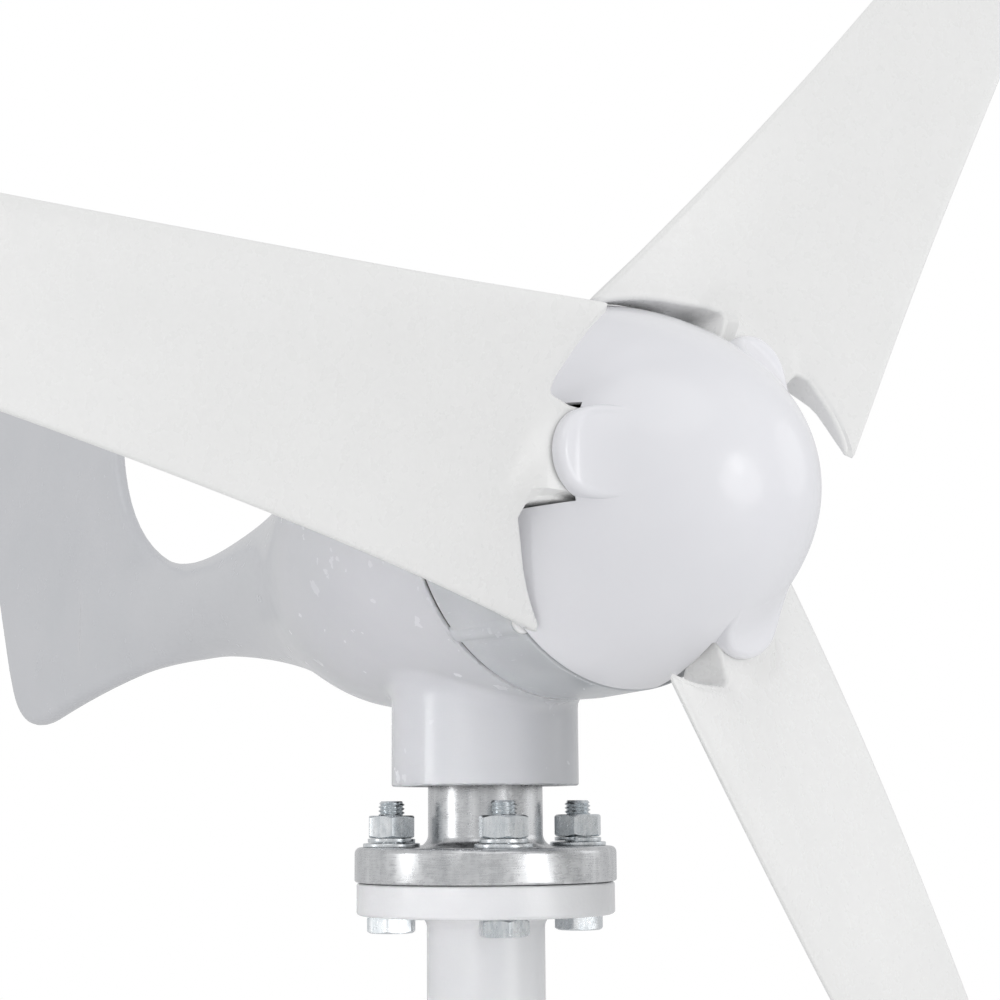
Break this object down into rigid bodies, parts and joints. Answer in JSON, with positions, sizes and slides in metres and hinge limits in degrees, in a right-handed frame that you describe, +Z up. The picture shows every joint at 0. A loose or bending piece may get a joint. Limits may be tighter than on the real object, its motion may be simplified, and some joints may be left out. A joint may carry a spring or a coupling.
{
  "type": "small wind turbine",
  "caption": "Small horizontal-axis wind turbine: bladed rotor and spinner, cast nacelle with tail fin, and a flanged yaw swivel bolted to a mast stub.",
  "frame": {"origin": "centre of the lower end of the mast tube, on the yaw axis", "axes": "+Z up along the yaw axis, +X towards the nose of the rotor, -X towards the tail fin, +Y to the left seen from behind"},
  "size_m": [0.6472, 0.9397, 1.0406],
  "materials": {
    "cast_grey": "cast aluminium under light grey gloss paint",
    "spinner_white": "gloss moulded",
    "blade_white": "satin moulded, fibre filled",
    "tube_white": "gloss white paint on welded steel",
    "turned_aluminium": "turned",
    "zinc_plate": "bright zinc plate",
    "bearing_steel": "ground steel",
    "lamination": "laminated electrical steel",
    "copper": "enamelled copper wire",
    "brass": "polished",
    "carbon": "pressed carbon",
    "rubber": "matte",
    "black_plastic": "matte"
  },
  "bodies": {
    "mast": {"mast_tube_flange": "tube_white", "swivel_shaft": "turned_aluminium", "flange_bolt_1": "zinc_plate", "flange_bolt_2": "zinc_plate", "flange_bolt_3": "zinc_plate", "flange_bolt_4": "zinc_plate", "flange_nut_1": "zinc_plate", "flange_nut_2": "zinc_plate", "flange_nut_3": "zinc_plate", "flange_nut_4": "zinc_plate", "flat_washer_1": "zinc_plate", "flat_washer_2": "zinc_plate", "flat_washer_3": "zinc_plate", "flat_washer_4": "zinc_plate", "spring_washer_1": "zinc_plate", "spring_washer_2": "zinc_plate", "spring_washer_3": "zinc_plate", "spring_washer_4": "zinc_plate", "yaw_bearing_lower_inner": "bearing_steel", "yaw_bearing_upper_inner": "bearing_steel", "yaw_lock_nut": "bearing_steel", "slip_ring_core": "black_plastic", "slip_ring_1": "brass", "slip_ring_2": "brass", "slip_ring_3": "brass"},
    "nacelle": {"nacelle_housing": "cast_grey", "front_cover": "cast_grey", "cover_screw_1": "zinc_plate", "cover_screw_2": "zinc_plate", "cover_screw_3": "zinc_plate", "cover_screw_4": "zinc_plate", "stator_core": "lamination", "stator_winding": "copper", "front_bearing_outer": "bearing_steel", "rear_bearing_outer": "bearing_steel", "yaw_bearing_lower_outer": "bearing_steel", "yaw_bearing_upper_outer": "bearing_steel", "yaw_seal": "rubber", "shaft_seal": "rubber", "brush_holder": "black_plastic", "brush_1": "carbon", "brush_2": "carbon", "brush_3": "carbon"},
    "rotor": {"spinner": "spinner_white", "blade_1": "blade_white", "blade_2": "blade_white", "blade_3": "blade_white", "rotor_hub": "turned_aluminium", "rotor_shaft": "bearing_steel", "rotor_core": "lamination", "hub_washer": "zinc_plate", "hub_nut": "zinc_plate", "blade_bolt_1": "zinc_plate", "blade_bolt_2": "zinc_plate", "blade_bolt_3": "zinc_plate", "blade_bolt_4": "zinc_plate", "blade_bolt_5": "zinc_plate", "blade_bolt_6": "zinc_plate", "front_bearing_inner": "bearing_steel", "rear_bearing_inner": "bearing_steel"}
  },
  "joints": [
    {"name": "yaw", "type": "hinge", "parent": "mast", "child": "nacelle", "pos_m": [0, 0, 0], "axis": [0, 0, 1], "continuous": true},
    {"name": "rotor_spin", "type": "hinge", "parent": "nacelle", "child": "rotor", "pos_m": [0, 0, 0.3006], "axis": [1, 0, 0], "continuous": true}
  ]
}
